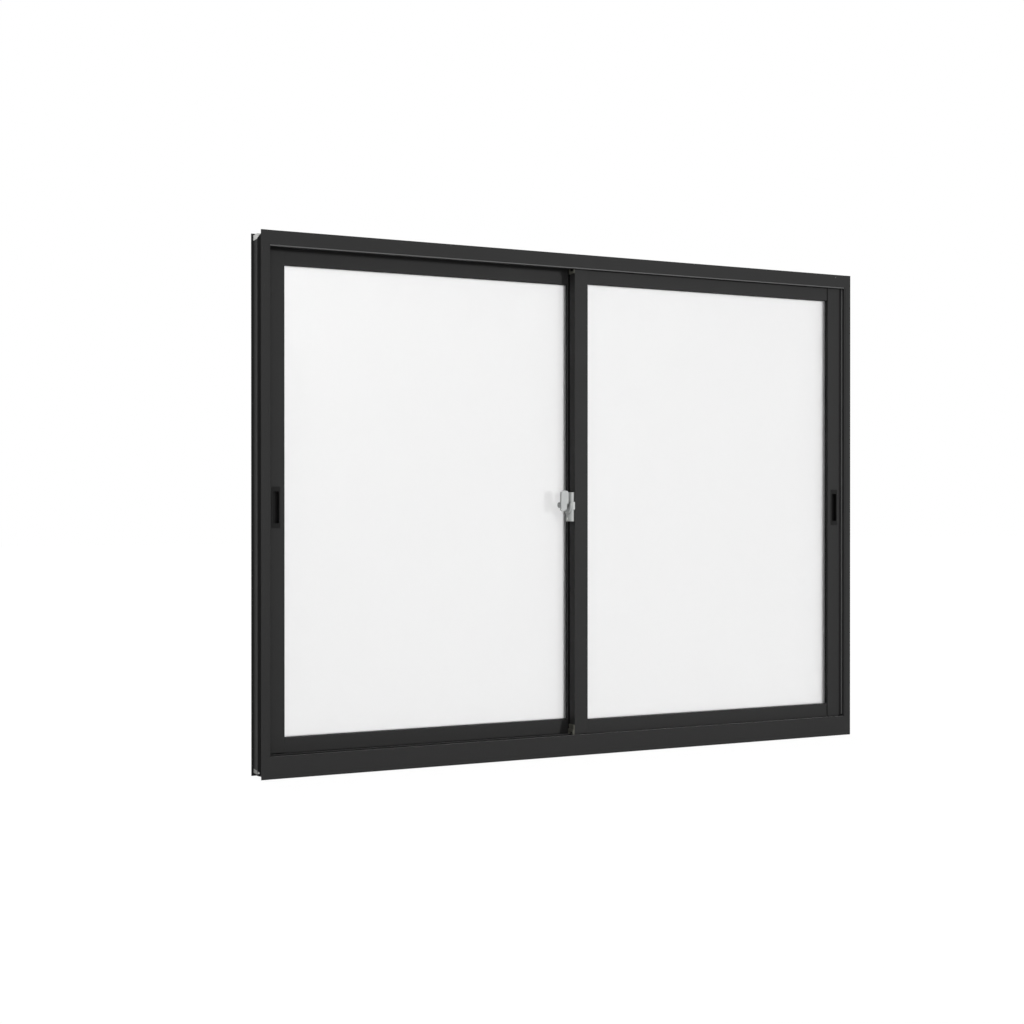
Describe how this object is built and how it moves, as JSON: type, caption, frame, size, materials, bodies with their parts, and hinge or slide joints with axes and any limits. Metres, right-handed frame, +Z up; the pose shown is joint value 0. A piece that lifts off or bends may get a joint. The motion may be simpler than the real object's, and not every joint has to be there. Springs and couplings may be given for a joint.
{
  "type": "horizontal sliding window",
  "caption": "Horizontal sliding window: dark painted aluminium frame with tracks, glazed sashes that slide past each other on rollers, finger pulls and a crescent lock.",
  "frame": {"origin": "room face of the sill's fixing fin, at mid width and mid height of the fin", "axes": "+X along the window to the right seen from the room, +Y from the room to the outside, +Z up"},
  "size_m": [1.544, 0.08, 1.174],
  "materials": {
    "frame_paint": "satin",
    "glass": "clear",
    "gasket": "matte",
    "pull": "matte",
    "nylon": "matte",
    "cap": "matte",
    "pad": "matte",
    "pile": "matte",
    "lock": "satin",
    "lock_dark": "matte"
  },
  "bodies": {
    "frame": {"left_jamb": "frame_paint", "right_jamb": "frame_paint", "head": "frame_paint", "sill": "frame_paint", "corner_pads_top": "pad", "corner_pads_bottom": "pad"},
    "room_sash": {"room_sash_top_rail": "frame_paint", "room_sash_bottom_rail": "frame_paint", "room_sash_meeting_stile": "frame_paint", "room_sash_side_stile": "frame_paint", "room_sash_glass": "glass", "room_sash_gasket": "gasket", "room_sash_finger_pull": "pull", "room_sash_roller_wheels": "nylon", "room_sash_roller_housings": "nylon", "room_sash_top_guides": "nylon", "room_sash_stile_caps": "cap", "meeting_pile": "pile", "lock_base": "lock", "lock_pivot_cap": "lock_dark"},
    "outer_sash": {"outer_sash_top_rail": "frame_paint", "outer_sash_bottom_rail": "frame_paint", "outer_sash_meeting_stile": "frame_paint", "outer_sash_side_stile": "frame_paint", "outer_sash_glass": "glass", "outer_sash_gasket": "gasket", "outer_sash_finger_pull": "pull", "outer_sash_roller_wheels": "nylon", "outer_sash_roller_housings": "nylon", "outer_sash_top_guides": "nylon", "outer_sash_stile_caps": "cap", "lock_keeper": "lock"},
    "lock_lever": {"lock_lever": "lock"}
  },
  "joints": [
    {"name": "room_sash_slide", "type": "slide", "parent": "frame", "child": "room_sash", "axis": [-1, 0, 0], "range_m": [0, 0.65]},
    {"name": "outer_sash_slide", "type": "slide", "parent": "frame", "child": "outer_sash", "axis": [1, 0, 0], "range_m": [0, 0.65]},
    {"name": "lock_turn", "type": "hinge", "parent": "room_sash", "child": "lock_lever", "pos_m": [-0.0375, -0.0465, 0.5805], "axis": [1, 0, 0], "range_deg": [0, 180]}
  ]
}
